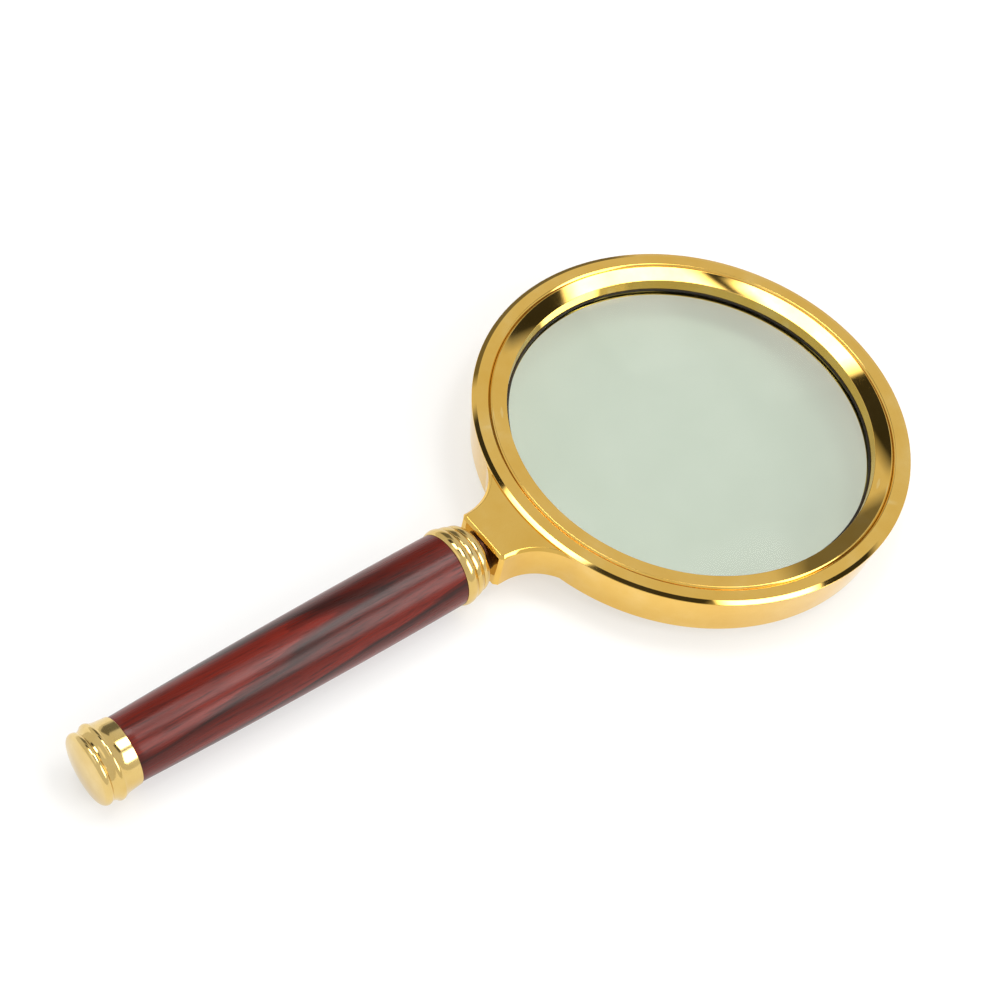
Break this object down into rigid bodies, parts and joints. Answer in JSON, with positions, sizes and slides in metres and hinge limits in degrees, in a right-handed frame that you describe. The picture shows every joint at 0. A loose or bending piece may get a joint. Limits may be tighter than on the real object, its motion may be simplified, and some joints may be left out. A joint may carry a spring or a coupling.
{
  "type": "magnifying glass",
  "caption": "Hand magnifier: gilt ring frame with a flared neck round a biconvex lens held by a screwed bezel, on a turned rosewood handle with ribbed ferrule and domed end cap.",
  "frame": {"origin": "middle of the bounding box in plan, at the height of the lowest point, the underside of the front ferrule's flange", "axes": "+X along the handle from its end cap towards the lens, +Z out of the front face of the lens frame, +Y across the frame"},
  "size_m": [0.1962, 0.095, 0.0166],
  "materials": {
    "gilt_frame": "polished gold plate",
    "brass_fittings": "polished pale brass",
    "rosewood": "satin lacquer over dark figured rosewood",
    "lens_glass": "polished clear",
    "black_rubber": "matt",
    "steel": "turned and oil-browned"
  },
  "bodies": {
    "frame": {"lens_frame": "gilt_frame", "lens_bezel": "gilt_frame", "lens_cushion": "black_rubber", "lens": "lens_glass"},
    "washer": {"neck_washer": "steel"},
    "handle": {"tie_rod": "steel", "front_ferrule": "brass_fittings", "handle_grip": "rosewood", "end_cap": "brass_fittings", "rod_nut": "steel", "end_button": "brass_fittings"}
  },
  "joints": [
    {"name": "handle_travel", "type": "slide", "parent": "frame", "child": "washer", "axis": [-1, 0, 0], "range_m": [0, 0.008]},
    {"name": "handle_turn", "type": "hinge", "parent": "washer", "child": "handle", "pos_m": [-0.0079, 0, 0.0083], "axis": [-1, 0, 0], "range_deg": [0, 3600]}
  ],
  "couplings": [
    {"joint": "handle_turn", "follows": "handle_travel", "rad_per_m": 7854}
  ]
}
